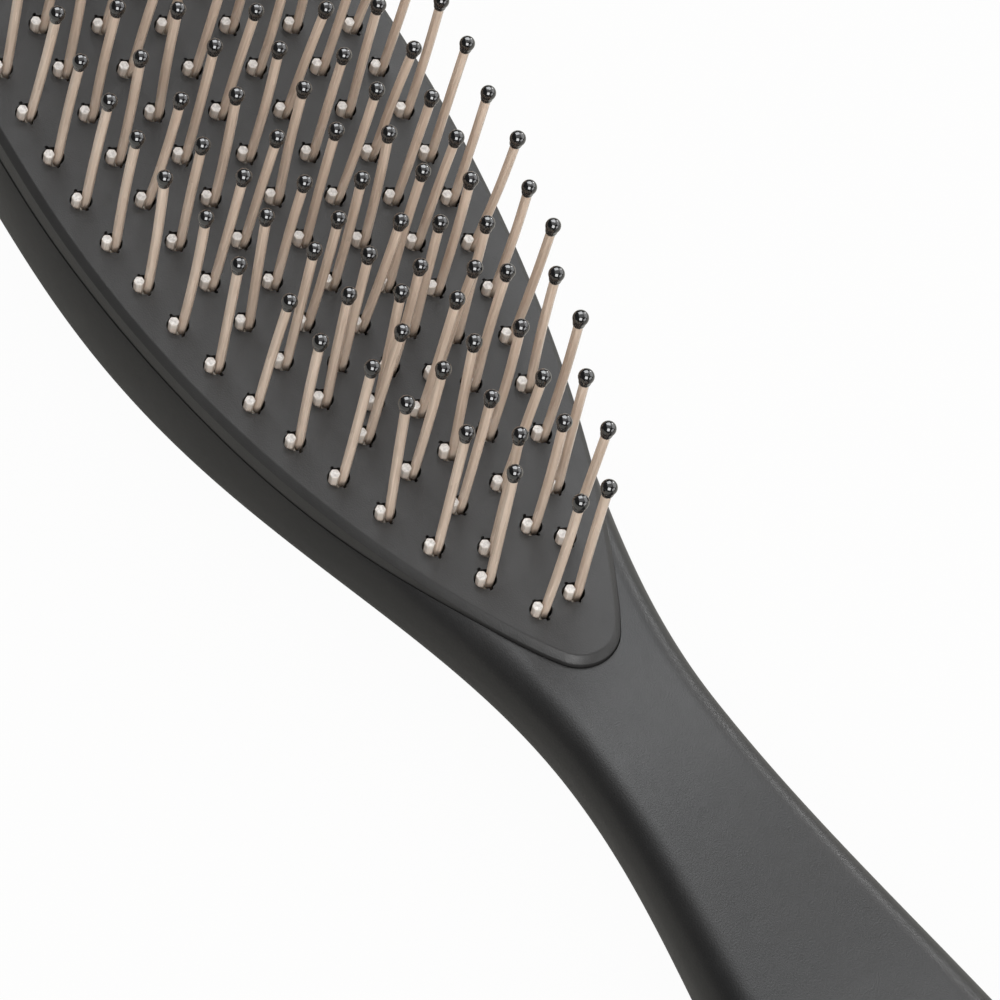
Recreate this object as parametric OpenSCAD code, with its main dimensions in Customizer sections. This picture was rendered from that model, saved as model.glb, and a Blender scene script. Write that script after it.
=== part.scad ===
// Detangling brush with a bowed body, a raised pin plate and folded filament pins.
// The pins point up, the grip runs along +X, and the brush rests on the flat of its back.
// Places along the brush are arc lengths from its widest line, positive toward the grip.

/* [Body] */
// Width of the head at its widest line
head_w = 57.4; // [55:0.2:64]
// Arc length from the widest line to the far end of the head
head_run = 55.2; // [55:0.2:60]
// Arc length from the widest line to the middle of the neck
neck_run = 100; // [98:1:110]
// Arc length from the middle of the neck to the widest line of the grip
grip_run = 60; // [50:1:75]
// Arc length from the widest line of the grip to its end
grip_end_run = 22; // [16:1:30]
// Width of the neck
neck_w = 20.8; // [20:0.2:24]
// Width of the grip at its widest line
grip_w = 32.8; // [28:0.2:36]
// Radius of the bow, measured to the top of the pin plate
bow_r = 450; // [400:10:700]
// Arc length from the widest line to where the bow is level
level_run = 60; // [50:1:68]
// Height of the body at the head, from its widest level to its top
head_upper_h = 10.2; // [8:0.1:12]
// Depth of the body at the head, below its widest level
head_lower_h = 7.2; // [6:0.2:9]
// Height of the body at the neck, from its widest level to its top
neck_upper_h = 5.5; // [5:0.1:7]
// Depth of the body at the neck, below its widest level
neck_lower_h = 6.2; // [5:0.2:8]
// Height of the body at the grip, from its widest level to its top
grip_upper_h = 8; // [7:0.1:10]
// Depth of the body at the grip, below its widest level
grip_lower_h = 9; // [7:0.2:10]
// How far the top of the grip falls below the top of the neck
grip_drop = 4.4; // [2:0.1:6]
// Straight land of the side above its widest level
side_land = 0.8; // [0.4:0.1:1.2]
// Width of the shoulder rounding at the head
head_shoulder = 4.2; // [3:0.1:5]
// Width of the shoulder rounding at the neck
neck_shoulder = 4.1; // [3:0.1:5]
// Width of the shoulder rounding at the grip
grip_shoulder = 5.5; // [4:0.1:7]
// Angle by which the front shell turns in under the widest level, in degrees
seam_turn = 28; // [20:1:32]
// Wall of both shells
shell_wall = 2; // [1.6:0.1:2.4]
// Depth of the flat that the back rests on
rest_cut = 0.5; // [0.3:0.05:0.6]

/* [Pin plate] */
// How far the pin plate stands above the body
plate_proud = 1.4; // [1:0.1:2]
// Thickness of the pin plate
plate_t = 5.4; // [5.2:0.1:5.8]
// Margin of plate around the outer line of pins
plate_margin = 5.2; // [4.6:0.1:5.4]
// Chamfer of the plate's upper edge
plate_chamfer = 0.86; // [0.6:0.02:1.1]
// Clearance between the plate and its pocket
plate_gap = 0.12; // [0.08:0.02:0.2]
// Floor of the pocket under the plate
floor_t = 1.4; // [1.2:0.1:1.6]
// Diameter of the pegs that hold the plate
peg_d = 3.2; // [2.6:0.1:4]
// How far the pegs reach below the pocket's floor
peg_reach = 0.9; // [0.5:0.1:1.2]
// Clearance around each peg
peg_gap = 0.05; // [0.03:0.01:0.08]

/* [Pin layout] */
// Half width between the two outer lines of pins
outer_line_y = 22.1; // [21:0.1:23]
// Arc length from the widest line to the tip of the outer line at the neck
outer_line_neck_run = 84.8; // [83:0.2:86]
// Arc length from the widest line to the end of the outer line at the head
outer_line_head_run = 48; // [47:0.5:49]
// Distance between neighbouring rows, half the pitch along one line
row_pitch = 3.4; // [3.3:0.02:3.42]
// Arc length from the tip of the outer line to the first row
first_row = 3.85; // [3.6:0.05:4.4]
// Distance between the outer line and the next one
line_gap = 7; // [6.8:0.1:7.4]
// Least distance of the second line from the middle
second_line_min_y = 3.1; // [2.9:0.1:3.4]
// Distance of the whole layout from the plate's middle line, toward the stubs
layout_shift = 0.45; // [0:0.05:0.6]

/* [Pins] */
// Filament, measured across the corners of its six sides
filament_d = 1.3; // [1.2:0.02:1.32]
// Gap between the two legs of a folded filament
leg_gap = 0.34; // [0.32:0.01:0.36]
// Height of the middle of the ball tips above the plate
pin_h = 24.6; // [20:0.2:28]
// Height of the cut stub above the plate
stub_h = 1.55; // [1:0.05:2.4]
// Diameter of the ball tips
ball_d = 2; // [1.8:0.1:2.4]
// How far the lower neck of a ball tip reaches below its middle
ball_neck_h = 1.35; // [1.2:0.05:1.6]
// Largest lean of a pin, in degrees
lean = 1.7; // [0:0.1:1.8]
// Diameter of the pin holes
hole_d = 2.9; // [2.88:0.01:3]
// Depth of the pin holes
hole_depth = 4.6; // [4.4:0.1:4.7]
// Thickness of the anchor wire
anchor_t = 0.24; // [0.2:0.01:0.25]
// Length of the anchor wire
anchor_l = 3.3; // [3.2:0.05:3.6]
// Width of the flat anchor wire, which stands upright in its slit
anchor_w = 1.5; // [1.2:0.05:1.6]
// Width of the anchor slits
slit_w = 0.42; // [0.36:0.02:0.46]
// Clearance at the ends of the anchor wire
anchor_gap = 0.05; // [0.03:0.01:0.08]

/* [Hidden] */

body_colour = "#39393b";
plate_colour = "#454547";
pin_colour = "#cdb096";
tip_colour = "#0c0c0d";
wire_colour = "#b9b2a4";

deg_per_rad = 180 / PI;
half_turn = 180;
quarter_turn = 90;
overrun = 1;
round_fn = 48;
hex_sides = 6;

// Exponents and counts that shape the outlines
neck_shape = 1.23;
head_end_shape = 2.45;
grip_end_shape = 2.4;
cap_height_shape = 2.6;
back_shape = 2.3;
outer_neck_shapes = [2, 0.92];
outer_head_shapes = [3, 0.6];
head_steps = 11;
mid_steps = 32;
end_steps = 7;
shoulder_steps = 7;
tuck_steps = 4;
back_steps = 16;
outline_steps = 34;
tip_arc_steps = 7;
last_normal_share = 0.985;

// Each kind of line, from the outer one inward: its first row, counted from the neck,
// and how far its last row may reach, as a share of the outer line's run at the head
line_first_rows = [0, 3, 10, 7];
line_last_shares = [0.88, 0.96, 0.6, 0.82];
line_count = 7;
middle_line = 4;

// Levels, measured from the top of the plate and positive upward
body_top = -plate_proud;
seat_level = -plate_t;
floor_level = seat_level - floor_t;
grip_line = neck_run + grip_run;
body_end = grip_line + grip_end_run;
mid_step = grip_line / mid_steps;

// Places of the pegs: [share of the outer line's run toward the neck, share of its half width]
peg_shares = [[0.62, 0], [0.2, 0.62], [0.2, -0.62], [-0.3, 0.5], [-0.3, -0.5]];

function smooth(t) = (1 - cos(half_turn * min(max(t, 0), 1))) / 2;
function mix(a, b, t) = a + (b - a) * t;
function cap(t, shape) = pow(max(1 - pow(min(max(t, 0), 1), shape), 0), 1 / shape);

// Share of the way from the head's sizes to the neck's, and from the neck's to the grip's
function neck_share(u) = smooth(pow(min(max(u / neck_run, 0), 1), neck_shape));
function grip_share(u) = smooth((u - neck_run) / grip_run);
function blend(head, neck, grip, u) =
    u < neck_run ? mix(head, neck, neck_share(u)) : mix(neck, grip, grip_share(u));

// Rounding of the two ends
function end_share(u) = u < 0 ? -u / head_run : (u - grip_line) / grip_end_run;
function width_cap(u) = cap(end_share(u), u < 0 ? head_end_shape : grip_end_shape);
function height_cap(u) = cap(end_share(u), cap_height_shape);

function half_w(u) = blend(head_w, neck_w, grip_w, u) / 2 * width_cap(u);
function shoulder(u) = blend(head_shoulder, neck_shoulder, grip_shoulder, u) * width_cap(u);
function upper_h(u) = blend(head_upper_h, neck_upper_h, grip_upper_h, u);
function lower_h(u) = blend(head_lower_h, neck_lower_h, grip_lower_h, u);
function top_level(u) = body_top - grip_drop * grip_share(u);
function side_level(u) = top_level(u) - upper_h(u);

// A point of the bowed brush: arc length u, height h above the plate's top, width y
function bow_angle(u) = (u - level_run) / bow_r * deg_per_rad;
function bowed(u, y, h) = [(bow_r - h) * sin(bow_angle(u)), y, bow_r - (bow_r - h) * cos(bow_angle(u))];

// Outline of the outer line of pins, and of the plate, which follows it at a margin
function outer_share(t, shapes) = pow(max(1 - pow(min(t, 1), shapes[0]), 0), shapes[1]);
function outer_y(u) = outer_line_y * (u < 0
    ? outer_share(-u / outer_line_head_run, outer_head_shapes)
    : outer_share(u / outer_line_neck_run, outer_neck_shapes));
function slope_at(u, step) = (outer_y(u + step) - outer_y(u - step)) / (2 * step);
function offset_point(u, margin, step) =
    let (k = slope_at(u, step), size = sqrt(1 + k * k))
    [u - margin * k / size, outer_y(u) + margin / size];
slope_step = row_pitch / 200;

// One side of the outline, from the tip at the neck to the end at the head
function outline_side(margin) =
    let (
        last = outer_line_neck_run * last_normal_share,
        tip_angle = atan2(1, -slope_at(last, slope_step))
    )
    concat(
        [for (i = [0:tip_arc_steps])
            let (a = tip_angle * i / tip_arc_steps)
            [outer_line_neck_run + margin * cos(a), margin * sin(a)]],
        [for (i = [0:outline_steps])
            let (t = last_normal_share * pow(1 - i / outline_steps, 1.3))
            offset_point(outer_line_neck_run * t, margin, slope_step)],
        [for (i = [1:outline_steps - 1])
            let (t = 1 - pow(1 - i / outline_steps, 2.2))
            offset_point(-outer_line_head_run * t, margin, slope_step)],
        [[-outer_line_head_run - margin, 0]]
    );

// The brush is moved so that its box is centred and its flat back lies at zero
function body_stations() = concat(
    [for (i = [1:head_steps]) -head_run * cos(quarter_turn * i / head_steps)],
    [for (u = [mid_step:mid_step:grip_line - mid_step / 2]) u],
    [for (i = [0:end_steps - 1]) grip_line + grip_end_run * sin(quarter_turn * i / end_steps)]
);
back_line = concat(
    [bowed(-head_run, 0, side_level(-head_run)), bowed(body_end, 0, side_level(body_end))],
    [for (u = body_stations()) bowed(u, 0, side_level(u) - lower_h(u) * height_cap(u))]
);
rest_z = min([for (p = back_line) p[2]]) + rest_cut;
centre_x = (min([for (p = back_line) p[0]]) + max([for (p = back_line) p[0]])) / 2;
function placed(p) = [p[0] - centre_x, p[1], p[2] - rest_z];
function at(u, y, h) = placed(bowed(u, y, h));

// A point of the rounded back, at angle t round from the widest level
function back_point(a, depth, base, t) = [
    a * sign(cos(t)) * pow(abs(cos(t)), 2 / back_shape),
    base - depth * pow(abs(sin(t)), 2 / back_shape)
];
// Sections of the shells as [y, h]: the front one goes over the top from seam to seam, the back one under
function upper_section(a, r, top, base, land, depth, turn) =
    let (
        rise = top - base - land,
        side = concat(
            [for (k = [tuck_steps:-1:0]) back_point(a, depth, base, turn * k / tuck_steps)],
            [for (k = [0:shoulder_steps])
                let (t = quarter_turn * k / shoulder_steps)
                [a - r + r * cos(t), base + land + rise * sin(t)]]
        )
    )
    concat(side, [for (k = [len(side) - 1:-1:0]) [-side[k][0], side[k][1]]]);
function lower_section(a, depth, base, turn) =
    [for (k = [0:back_steps]) back_point(a, depth, base, turn + (half_turn - 2 * turn) * k / back_steps)];

function outer_depth(u) = lower_h(u) * height_cap(u);
function outer_upper(u) =
    let (top = side_level(u) + upper_h(u) * height_cap(u), land = side_land * height_cap(u))
    [for (p = upper_section(half_w(u), shoulder(u), top, side_level(u), land, outer_depth(u), seam_turn))
        at(u, p[0], p[1])];
function outer_lower(u) =
    [for (p = lower_section(half_w(u), outer_depth(u), side_level(u), seam_turn)) at(u, p[0], p[1])];

// Inner faces: the same stations drawn in by the wall, with the pocket's floor over the head
ceiling_start = outer_line_neck_run + plate_margin + plate_gap + shell_wall;
ceiling_run = neck_shoulder + neck_shoulder;
function inner_station(u) = u < 0
    ? u * (head_run - shell_wall - plate_gap) / head_run
    : (u < grip_line ? u : grip_line + (u - grip_line) * (grip_end_run - shell_wall) / grip_end_run);
function inner_end_share(u) = u < 0
    ? -u / (head_run - shell_wall - plate_gap)
    : (u - grip_line) / (grip_end_run - shell_wall);
function inner_cap(u) = cap(inner_end_share(u), u < 0 ? head_end_shape : grip_end_shape);
function inner_half(u) = (blend(head_w, neck_w, grip_w, u) / 2 - shell_wall) * inner_cap(u);
function ceiling_level(u) =
    mix(floor_level, top_level(u) - shell_wall, smooth((u - ceiling_start) / ceiling_run));
function inner_depth(u) = (lower_h(u) - shell_wall) * cap(inner_end_share(u), cap_height_shape);
// The inner face meets the seam at the outer face's level, so it turns in by a larger angle
function inner_turn(u) = asin(sin(seam_turn) * pow(lower_h(u) / (lower_h(u) - shell_wall), back_shape / 2));
function inner_upper(u) =
    let (
        end_cap = cap(inner_end_share(u), cap_height_shape),
        rise = (ceiling_level(u) - side_level(u)) * end_cap,
        r = min(shoulder(u), inner_half(u) / 2)
    )
    [for (p = upper_section(inner_half(u), r, side_level(u) + rise, side_level(u), side_land * end_cap,
        inner_depth(u), inner_turn(u))) at(u, p[0], p[1])];
function inner_lower(u) =
    [for (p = lower_section(inner_half(u), inner_depth(u), side_level(u), inner_turn(u))) at(u, p[0], p[1])];

// Faces of a grid of rings closed by one point at each end; flip turns them inside out
function turned(f, flip) = flip ? [f[2], f[1], f[0]] : f;
function grid_faces(rings, points, base, flip) = concat(
    [for (j = [0:points - 2]) turned([base, base + 1 + j, base + 2 + j], flip)],
    [for (i = [0:rings - 2]) for (j = [0:points - 2])
        let (p = base + 1 + i * points + j)
        for (f = [[p, p + points, p + points + 1], [p, p + points + 1, p + 1]]) turned(f, flip)],
    [for (j = [0:points - 2])
        let (p = base + 1 + (rings - 1) * points + j, tip = base + 1 + rings * points)
        turned([p, tip, p + 1], flip)]
);
// The seam face that joins the outer grid to the inner one, along column j
function rim_faces(rings, points, base, j, flip) =
    let (
        path = concat([0], [for (i = [0:rings - 1]) 1 + i * points + j], [1 + rings * points])
    )
    [for (k = [0:len(path) - 2])
        for (f = [[path[k], base + path[k], base + path[k + 1]], [path[k], base + path[k + 1], path[k + 1]]])
            turned(f, flip)];

// A shell of a body half: outer and inner are lists of rings, ends hold the four end points
module shell(outer, inner, ends, flip) {
    rings = len(outer);
    points = len(outer[0]);
    base = 2 + rings * points;
    outer_part = concat([ends[0]], [for (r = outer) each r], [ends[1]]);
    inner_part = concat([ends[2]], [for (r = inner) each r], [ends[3]]);
    faces = concat(
        grid_faces(rings, points, 0, flip),
        grid_faces(rings, points, base, !flip),
        rim_faces(rings, points, base, 0, flip),
        rim_faces(rings, points, base, points - 1, !flip)
    );
    polyhedron(concat(outer_part, inner_part), faces, convexity = 6);
}
function seam_end(u) = at(u, 0, side_level(u));
seam_ends = [
    seam_end(-head_run), seam_end(body_end),
    seam_end(inner_station(-head_run)), seam_end(inner_station(body_end))
];

// The closed outline of the plate at one level, drawn at a margin from the outer line of pins
function plan_loop(margin, level) =
    let (side = outline_side(margin), n = len(side))
    concat(
        [for (p = side) at(p[0], p[1], level)],
        [for (k = [n - 2:-1:1]) at(side[k][0], -side[k][1], level)]
    );
// A bar across the brush whose round face is the bow at level h
module bow_cylinder(h) {
    translate([-centre_x, 0, bow_r - rest_z]) rotate([quarter_turn, 0, 0])
        cylinder(r = bow_r - h, h = head_w * 2, center = true, $fn = round_fn * 8);
}

// A block over the plate's outline before its round faces are cut: straight sides and a chamfered upper edge
module plate_block(margin, chamfer) {
    foot = plan_loop(margin, -plate_t - overrun);
    edge = plan_loop(margin, -chamfer);
    crown = plan_loop(margin - chamfer - overrun, overrun);
    n = len(foot);
    top_pairs = [for (k = [1:n / 2 - 1]) k];
    polyhedron(
        concat(foot, edge, crown),
        concat(
            [for (k = [0:n - 1]) for (r = [0, n])
                let (a = k + r, b = (k + 1) % n + r)
                for (f = [[a, a + n, b + n], [a, b + n, b]]) f],
            [for (k = top_pairs)
                for (f = [[k - 1, k, n - k], [k - 1, n - k, (n - k + 1) % n]]) f],
            [[n / 2 - 1, n / 2, n / 2 + 1]],
            [for (k = top_pairs)
                for (f = [[k - 1, n - k, k], [k - 1, (n - k + 1) % n, n - k]]) [for (q = f) q + 2 * n]],
            [[n / 2 - 1 + 2 * n, n / 2 + 1 + 2 * n, n / 2 + 2 * n]]
        ),
        convexity = 4
    );
}

// Pins. A line is numbered from the side of -Y, and its kind counts inward from the outer line.
function line_kind(line) = min(line - 1, line_count - line);
function line_side(line) = sign(line - middle_line);
function row_place(row) = outer_line_neck_run - first_row - row * row_pitch;
function line_y(kind, u) =
    let (second = max(outer_y(u) - line_gap, second_line_min_y))
    [outer_y(u), second, second / 2, 0][kind];
function last_row(kind) =
    floor((outer_line_neck_run - first_row + outer_line_head_run * line_last_shares[kind]) / row_pitch);
function line_rows(line) = [for (r = [line_first_rows[line_kind(line)]:2:last_row(line_kind(line))]) r];
// Each pin leans a little its own way: two angles from its row and line
function lean_angles(line, row) = [
    lean * sin(row * 97 + line * 211),
    lean * sin(row * 151 + line * 67)
];
module at_tuft(line, row) {
    u = row_place(row);
    y = line_side(line) * line_y(line_kind(line), u) - layout_shift;
    translate(at(u, y, 0)) rotate([0, -bow_angle(u), 0]) children();
}
module leaning(line, row) {
    rotate([lean_angles(line, row)[0], lean_angles(line, row)[1], 0]) children();
}

apothem = filament_d / 2 * cos(half_turn / hex_sides);
leg_y = apothem + leg_gap / 2;
bend_z = -(hole_depth - anchor_gap - leg_y - apothem);
pin_top = pin_h + ball_d / 8;
ball_steps = 9;

module hex_leg(y, low, high) {
    translate([0, y, low]) cylinder(d = filament_d, h = high - low, $fn = hex_sides);
}
// The folded filament: a cut stub, the bend round the anchor and the long leg
module folded_filament() {
    hex_leg(-leg_y, bend_z, stub_h);
    hex_leg(leg_y, bend_z, pin_top);
    translate([0, 0, bend_z]) rotate([quarter_turn, half_turn, quarter_turn])
        rotate_extrude(angle = half_turn, $fn = round_fn)
            translate([leg_y, 0]) rotate(half_turn / hex_sides) circle(d = filament_d, $fn = hex_sides);
}
// The ball tip: a drop round the pin's end, with the pin's own hollow in it
module ball_tip() {
    neck_r = filament_d / 2 + (ball_d - filament_d) / 8;
    tangent = 35;
    translate([0, leg_y, 0]) difference() {
        translate([0, 0, pin_h]) rotate_extrude($fn = round_fn) polygon(concat(
            [[0, -ball_neck_h], [neck_r, -ball_neck_h]],
            [for (k = [0:ball_steps])
                let (a = -tangent + (quarter_turn + tangent) * k / ball_steps)
                [k == ball_steps ? 0 : ball_d / 2 * cos(a), ball_d / 2 * sin(a)]]
        ));
        translate([0, 0, pin_h - ball_neck_h - overrun])
            cylinder(d = filament_d, h = pin_top - pin_h + ball_neck_h + overrun, $fn = hex_sides);
    }
}
module anchor_wire() {
    translate([0, 0, bend_z + anchor_w / 2]) cube([anchor_l, anchor_t, anchor_w], center = true);
}
module pin_hole() {
    translate([0, 0, -hole_depth]) cylinder(d = hole_d, h = hole_depth + overrun, $fn = round_fn);
    translate([-anchor_l / 2 - anchor_gap, -slit_w / 2, bend_z - anchor_gap])
        cube([anchor_l + 2 * anchor_gap, slit_w, overrun - bend_z + anchor_gap]);
}
module plate_pegs(gap, low, high) {
    for (s = peg_shares) {
        u = s[0] * outer_line_neck_run;
        translate(at(u, s[1] * outer_line_y, 0)) rotate([0, -bow_angle(u), 0]) translate([0, 0, low])
            cylinder(d = peg_d + 2 * gap, h = high - low, $fn = round_fn);
    }
}

module front_shell() {
    stations = body_stations();
    color(body_colour) difference() {
        shell(
            [for (u = stations) outer_upper(u)],
            [for (u = stations) inner_upper(inner_station(u))],
            seam_ends, false
        );
        intersection() {
            plate_block(plate_margin + plate_gap, 0);
            bow_cylinder(seat_level);
        }
        plate_pegs(peg_gap, floor_level - peg_reach - overrun, seat_level + overrun / 2);
    }
}
module back_shell() {
    stations = body_stations();
    color(body_colour) difference() {
        shell(
            [for (u = stations) outer_lower(u)],
            [for (u = stations) inner_lower(inner_station(u))],
            seam_ends, true
        );
        translate([-body_end, -head_w, -head_w]) cube([2 * body_end, 2 * head_w, head_w]);
    }
}
module pin_plate() {
    color(plate_colour) difference() {
        union() {
            intersection() {
                plate_block(plate_margin, plate_chamfer);
                difference() {
                    bow_cylinder(seat_level);
                    bow_cylinder(0);
                }
            }
            plate_pegs(0, floor_level - peg_reach, seat_level + overrun / 2);
        }
        for (line = [1:line_count]) for (row = line_rows(line)) at_tuft(line, row) pin_hole();
    }
}
module pins_line(line) {
    color(pin_colour) for (row = line_rows(line)) at_tuft(line, row) leaning(line, row) folded_filament();
}
module tips_line(line) {
    color(tip_colour) for (row = line_rows(line)) at_tuft(line, row) leaning(line, row) ball_tip();
}
module anchors_line(line) {
    color(wire_colour) for (row = line_rows(line)) at_tuft(line, row) anchor_wire();
}

front_shell();
back_shell();
pin_plate();
pins_line(1);  // pins_line_1
pins_line(2);  // pins_line_2
pins_line(3);  // pins_line_3
pins_line(4);  // pins_line_4
pins_line(5);  // pins_line_5
pins_line(6);  // pins_line_6
pins_line(7);  // pins_line_7
tips_line(1);  // tips_line_1
tips_line(2);  // tips_line_2
tips_line(3);  // tips_line_3
tips_line(4);  // tips_line_4
tips_line(5);  // tips_line_5
tips_line(6);  // tips_line_6
tips_line(7);  // tips_line_7
anchors_line(1);  // anchors_line_1
anchors_line(2);  // anchors_line_2
anchors_line(3);  // anchors_line_3
anchors_line(4);  // anchors_line_4
anchors_line(5);  // anchors_line_5
anchors_line(6);  // anchors_line_6
anchors_line(7);  // anchors_line_7
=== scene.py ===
"""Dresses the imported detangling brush: moulded body, pin plate, folded filaments and ball tips."""

import logging
import math
from dataclasses import dataclass, field
from enum import Enum

import bmesh
import bpy
import numpy as np
from mathutils import Matrix, Vector

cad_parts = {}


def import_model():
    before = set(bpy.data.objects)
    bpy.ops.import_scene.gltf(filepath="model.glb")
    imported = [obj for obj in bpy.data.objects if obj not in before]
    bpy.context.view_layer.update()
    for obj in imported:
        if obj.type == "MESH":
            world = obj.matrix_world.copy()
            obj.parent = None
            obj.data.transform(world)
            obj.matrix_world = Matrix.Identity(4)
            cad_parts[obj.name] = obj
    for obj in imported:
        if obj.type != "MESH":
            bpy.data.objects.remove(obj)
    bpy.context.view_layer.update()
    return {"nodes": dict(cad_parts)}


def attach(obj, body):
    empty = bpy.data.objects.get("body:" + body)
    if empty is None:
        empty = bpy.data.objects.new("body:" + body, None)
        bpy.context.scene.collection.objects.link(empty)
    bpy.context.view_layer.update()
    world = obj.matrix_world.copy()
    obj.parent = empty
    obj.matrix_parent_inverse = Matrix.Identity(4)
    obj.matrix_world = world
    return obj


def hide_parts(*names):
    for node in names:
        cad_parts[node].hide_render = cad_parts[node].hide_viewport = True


logging.basicConfig(level=logging.INFO, format="%(message)s")
LOG = logging.getLogger("brush")

MM = 0.001
BODY = "root"
STRAND = "strand"
PALENESS = "paleness"
Pair = tuple[float, float]
Point = tuple[float, float, float]
Face = tuple[int, ...]
Ring = list[Pair]
Piece = bpy.types.Object


# Shape rules of the brush, the same as those of its solids

def smooth(share: float) -> float:
    """Returns share from 0 to 1 with a soft start and end."""
    return (1.0 - math.cos(math.pi * min(max(share, 0.0), 1.0))) / 2.0


def mix(first: float, second: float, share: float) -> float:
    """Returns the value a share of the way from first to second."""
    return first + (second - first) * share


def cap(share: float, shape: float) -> float:
    """Returns the rounding of an end, 1 at its start and 0 at its tip."""
    return max(1.0 - min(max(share, 0.0), 1.0) ** shape, 0.0) ** (1.0 / shape)


@dataclass(frozen=True)
class BrushForm:
    """Sizes of the brush in millimetres, along the arc from its widest line.

    Args:
        head_w, neck_w, grip_w: Widths of the head, the neck and the grip.
        head_run, neck_run, grip_run, grip_end_run: Arc lengths between those places.
        bow_r: Radius of the bow at the top of the plate.
        level_run: Arc length to where the bow is level.
        upper_h, lower_h, shoulder_w: Height above and below the widest level, and width of the shoulder,
            each at the head, the neck and the grip.
        grip_drop: How much lower the grip's top lies than the neck's.
        side_land: Upright part of the side above the widest level.
        seam_turn: Angle of the seam below the widest level, in degrees.
        plate_proud, plate_t, plate_margin, plate_chamfer, plate_gap: Height of the plate above the body, its
            thickness, its margin around the outer lines, its chamfer and the gap around it.
        line_y, line_neck_run, line_head_run: Half width and reach of the outer line of pins.
        row_pitch, first_row: Arc length from row to row, and from the line's end to its first row.
        line_gap, second_line_min_y, layout_shift: Places of the inner lines.
        neck_shape, head_end_shape, grip_end_shape, cap_height_shape, back_shape: Exponents of the curves.
        line_head_shape, line_neck_shape: Pairs of exponents of the outer line's two runs.
        centre_x, rest_z: Offset of the row frame's origin.
    """

    head_w: float = 57.4
    neck_w: float = 20.8
    grip_w: float = 32.8
    head_run: float = 55.2
    neck_run: float = 100.0
    grip_run: float = 60.0
    grip_end_run: float = 22.0
    bow_r: float = 450.0
    level_run: float = 60.0
    upper_h: Point = (10.2, 5.5, 8.0)
    lower_h: Point = (7.2, 6.2, 9.0)
    shoulder_w: Point = (4.2, 4.1, 5.5)
    grip_drop: float = 4.4
    side_land: float = 0.8
    seam_turn: float = 28.0
    plate_proud: float = 1.4
    plate_t: float = 5.4
    plate_margin: float = 5.2
    plate_chamfer: float = 0.86
    plate_gap: float = 0.12
    line_y: float = 22.1
    line_neck_run: float = 84.8
    line_head_run: float = 48.0
    row_pitch: float = 3.4
    first_row: float = 3.85
    line_gap: float = 7.0
    second_line_min_y: float = 3.1
    layout_shift: float = 0.45
    neck_shape: float = 1.23
    head_end_shape: float = 2.45
    grip_end_shape: float = 2.4
    cap_height_shape: float = 2.6
    back_shape: float = 2.3
    line_head_shape: Pair = (3.0, 0.6)
    line_neck_shape: Pair = (2.0, 0.92)
    centre_x: float = 3.80438
    rest_z: float = -16.5798

    @property
    def grip_line(self) -> float:
        """Returns the arc length to the widest line of the grip."""
        return self.neck_run + self.grip_run

    @property
    def body_end(self) -> float:
        """Returns the arc length to the end of the grip."""
        return self.grip_line + self.grip_end_run

    def neck_share(self, u: float) -> float:
        """Returns how far the sizes have gone from head to neck."""
        return smooth(min(max(u / self.neck_run, 0.0), 1.0) ** self.neck_shape)

    def grip_share(self, u: float) -> float:
        """Returns how far the sizes have gone from neck to grip."""
        return smooth((u - self.neck_run) / self.grip_run)

    def blend(self, sizes: Point, u: float) -> float:
        """Returns the size at arc length u.

        Args:
            sizes: The size at the head, the neck and the grip.
            u: Arc length from the widest line.

        Returns:
            The size in millimetres.
        """
        if u < self.neck_run:
            return mix(sizes[0], sizes[1], self.neck_share(u))
        return mix(sizes[1], sizes[2], self.grip_share(u))

    def end_share(self, u: float) -> float:
        """Returns the share of the way into the nearer end."""
        return -u / self.head_run if u < 0 else (u - self.grip_line) / self.grip_end_run

    def width_cap(self, u: float) -> float:
        """Returns the rounding of the outline near an end."""
        return cap(self.end_share(u), self.head_end_shape if u < 0 else self.grip_end_shape)

    def height_cap(self, u: float) -> float:
        """Returns the rounding of the section's height near an end."""
        return cap(self.end_share(u), self.cap_height_shape)

    def half_w(self, u: float) -> float:
        """Returns the half width of the body."""
        return self.blend((self.head_w, self.neck_w, self.grip_w), u) / 2.0 * self.width_cap(u)

    def top_level(self, u: float) -> float:
        """Returns the level of the body's top."""
        return -self.plate_proud - self.grip_drop * self.grip_share(u)

    def side_level(self, u: float) -> float:
        """Returns the level at which the body is widest."""
        return self.top_level(u) - self.blend(self.upper_h, u)

    def bow_angle(self, u: float) -> float:
        """Returns the slope of the bow in radians."""
        return (u - self.level_run) / self.bow_r

    def at(self, u: float, y: float, h: float) -> Point:
        """Places a point of the bowed brush.

        Args:
            u: Arc length from the widest line.
            y: Distance across the brush.
            h: Height above the top of the plate.

        Returns:
            The point in the row frame, in metres.
        """
        angle = self.bow_angle(u)
        x = (self.bow_r - h) * math.sin(angle) - self.centre_x
        z = self.bow_r - (self.bow_r - h) * math.cos(angle) - self.rest_z
        return (x * MM, y * MM, z * MM)

    def outer_y(self, u: float) -> float:
        """Follows the outer line of pins.

        Args:
            u: Arc length from the widest line.

        Returns:
            Its distance from the middle.
        """
        reach = -u / self.line_head_run if u < 0 else u / self.line_neck_run
        inner, outer = self.line_head_shape if u < 0 else self.line_neck_shape
        return self.line_y * max(1.0 - min(reach, 1.0) ** inner, 0.0) ** outer

    def outer_slope(self, u: float) -> float:
        """Returns the slope of the outer line of pins at arc length u."""
        step = self.row_pitch / 200.0
        return (self.outer_y(u + step) - self.outer_y(u - step)) / (2.0 * step)

    def beside_line(self, u: float, margin: float) -> Pair:
        """Finds a point beside the outer line of pins.

        Args:
            u: Arc length of the foot on the line.
            margin: Distance outward from the line.

        Returns:
            The point (arc length, distance across).
        """
        slope = self.outer_slope(u)
        size = math.hypot(1.0, slope)
        return (u - margin * slope / size, self.outer_y(u) + margin / size)

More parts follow.
